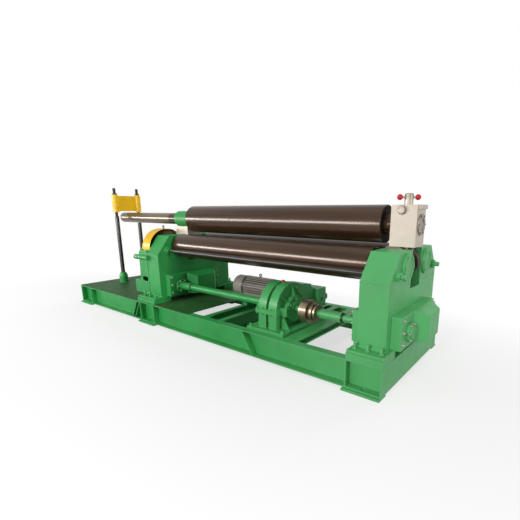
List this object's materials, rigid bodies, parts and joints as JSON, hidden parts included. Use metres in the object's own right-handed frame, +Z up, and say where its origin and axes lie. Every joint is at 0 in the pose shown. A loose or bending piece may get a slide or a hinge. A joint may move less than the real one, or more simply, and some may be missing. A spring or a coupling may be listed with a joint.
{
  "type": "plate rolling machine",
  "caption": "Three-roll plate bending machine: two geared lower rolls, an idle upper roll on lift screws, a tipping end bearing and a tail balance on a long base.",
  "frame": {"origin": "centre of the four outer anchor holes, on the underside of the feet", "axes": "+X along the rolls towards the tipping bearing, +Y towards the rear of the machine, +Z up"},
  "size_m": [5.26, 1.49, 1.77],
  "materials": {
    "green_paint": "satin",
    "roll_steel": "satin",
    "machined_steel": "satin",
    "shaft_steel": "satin",
    "bronze": "satin",
    "yellow_paint": "gloss",
    "motor_grey": "satin",
    "red_knob": "gloss"
  },
  "bodies": {
    "frame": {"balance_posts": "roll_steel", "base_beams": "green_paint", "base_feet": "green_paint", "bearing_flanges": "green_paint", "cross_members": "green_paint", "deck_plate": "green_paint", "gear_case": "green_paint", "gear_guard": "yellow_paint", "left_stand": "green_paint", "lift_motor": "motor_grey", "lift_motor_stool": "green_paint", "lift_reducer_base": "green_paint", "lift_reducer_caps": "green_paint", "lift_reducer_cover": "green_paint", "lifting_bar": "green_paint", "lifting_eyes": "machined_steel", "lower_bushes": "bronze", "main_drive_stools": "green_paint", "main_motor": "motor_grey", "main_reducer_base": "green_paint", "main_reducer_cover": "green_paint", "motor_cowls": "motor_grey", "post_sockets": "green_paint", "right_stand": "green_paint", "roll_end_covers": "green_paint", "stand_bolts": "machined_steel", "stand_pads": "green_paint", "terminal_boxes": "motor_grey", "tie_rod_nuts": "green_paint", "tie_rods": "roll_steel", "worm_cases": "green_paint"},
    "front_roll": {"front_lower_roll": "roll_steel", "front_roll_gear": "shaft_steel"},
    "rear_roll": {"rear_lower_roll": "roll_steel", "rear_roll_gear": "shaft_steel"},
    "pinion": {"drive_pinion": "shaft_steel"},
    "main_rotor": {"main_motor_shaft": "shaft_steel"},
    "left_shaft": {"left_lift_shafts": "green_paint", "left_sleeve": "green_paint", "clutch_fixed": "shaft_steel"},
    "right_shaft": {"right_lift_shafts": "green_paint", "right_sleeve": "green_paint"},
    "clutch_half": {"clutch_sliding": "shaft_steel"},
    "left_wheel": {"left_worm_wheel": "bronze"},
    "right_wheel": {"right_worm_wheel": "bronze"},
    "lift_rotor": {"lift_motor_shaft": "shaft_steel"},
    "lift": {"left_bearing_block": "machined_steel", "left_bearing_collar": "green_paint", "right_carriage": "machined_steel", "tip_pin": "machined_steel", "lift_screws": "roll_steel"},
    "top_roll": {"upper_roll": "roll_steel"},
    "tipping_bearing": {"bearing_housing": "machined_steel", "taper_bush": "bronze", "housing_end_cover": "machined_steel", "latch_pin": "machined_steel"},
    "lock_handle": {"lock_screw": "machined_steel", "lock_knobs": "red_knob"},
    "balance_head": {"crosshead": "yellow_paint", "crosshead_nuts": "machined_steel"}
  },
  "joints": [
    {"name": "front_roll_spin", "type": "hinge", "parent": "frame", "child": "front_roll", "pos_m": [0, -0.235, 0.988], "axis": [1, 0, 0], "continuous": true},
    {"name": "rear_roll_spin", "type": "hinge", "parent": "frame", "child": "rear_roll", "pos_m": [0, 0.235, 0.988], "axis": [1, 0, 0], "continuous": true},
    {"name": "pinion_spin", "type": "hinge", "parent": "frame", "child": "pinion", "pos_m": [-0.87, 0, 0.81807], "axis": [1, 0, 0], "continuous": true},
    {"name": "main_motor_spin", "type": "hinge", "parent": "frame", "child": "main_rotor", "pos_m": [-1.6, 0.4, 0.81807], "axis": [1, 0, 0], "continuous": true},
    {"name": "lift_drive", "type": "hinge", "parent": "frame", "child": "left_shaft", "pos_m": [0.3, -0.33, 0.475], "axis": [1, 0, 0], "range_deg": [-1, 90001]},
    {"name": "right_shaft_spin", "type": "hinge", "parent": "frame", "child": "right_shaft", "pos_m": [2, -0.33, 0.475], "axis": [1, 0, 0], "range_deg": [-1, 90001]},
    {"name": "clutch_slide", "type": "slide", "parent": "right_shaft", "child": "clutch_half", "axis": [1, 0, 0], "range_m": [0, 0.03]},
    {"name": "left_wheel_spin", "type": "hinge", "parent": "frame", "child": "left_wheel", "pos_m": [-0.645, 0, 0.475], "axis": [0, 0, 1], "range_deg": [0, 3000]},
    {"name": "right_wheel_spin", "type": "hinge", "parent": "frame", "child": "right_wheel", "pos_m": [2.388, 0, 0.475], "axis": [0, 0, 1], "range_deg": [-1, 3001]},
    {"name": "lift_motor_spin", "type": "hinge", "parent": "frame", "child": "lift_rotor", "pos_m": [0.8, 0.17, 0.475], "axis": [1, 0, 0], "range_deg": [-1, 540001]},
    {"name": "lift_slide", "type": "slide", "parent": "frame", "child": "lift", "axis": [0, 0, 1], "range_m": [-0.1, 0]},
    {"name": "upper_roll_spin", "type": "hinge", "parent": "lift", "child": "top_roll", "pos_m": [0, 0, 1.322], "axis": [1, 0, 0], "continuous": true},
    {"name": "bearing_tip", "type": "hinge", "parent": "lift", "child": "tipping_bearing", "pos_m": [2.36, 0, 0.982], "axis": [0, 1, 0], "range_deg": [0, 90]},
    {"name": "lock_turn", "type": "hinge", "parent": "tipping_bearing", "child": "lock_handle", "pos_m": [2.405, 0, 1.55], "axis": [0, 0, 1], "range_deg": [0, 720]},
    {"name": "balance_slide", "type": "slide", "parent": "frame", "child": "balance_head", "axis": [0, 0, 1], "range_m": [-0.005, 0.06]}
  ],
  "couplings": [
    {"joint": "rear_roll_spin", "follows": "front_roll_spin", "ratio": 1},
    {"joint": "pinion_spin", "follows": "front_roll_spin", "ratio": -1.6364},
    {"joint": "main_motor_spin", "follows": "front_roll_spin", "ratio": -79.478},
    {"joint": "lift_drive", "follows": "left_wheel_spin", "ratio": 30},
    {"joint": "right_shaft_spin", "follows": "left_wheel_spin", "ratio": 30},
    {"joint": "right_wheel_spin", "follows": "left_wheel_spin", "ratio": 1},
    {"joint": "lift_motor_spin", "follows": "left_wheel_spin", "ratio": 180},
    {"joint": "lift_slide", "follows": "left_wheel_spin", "m_per_rad": -0.0019098}
  ]
}
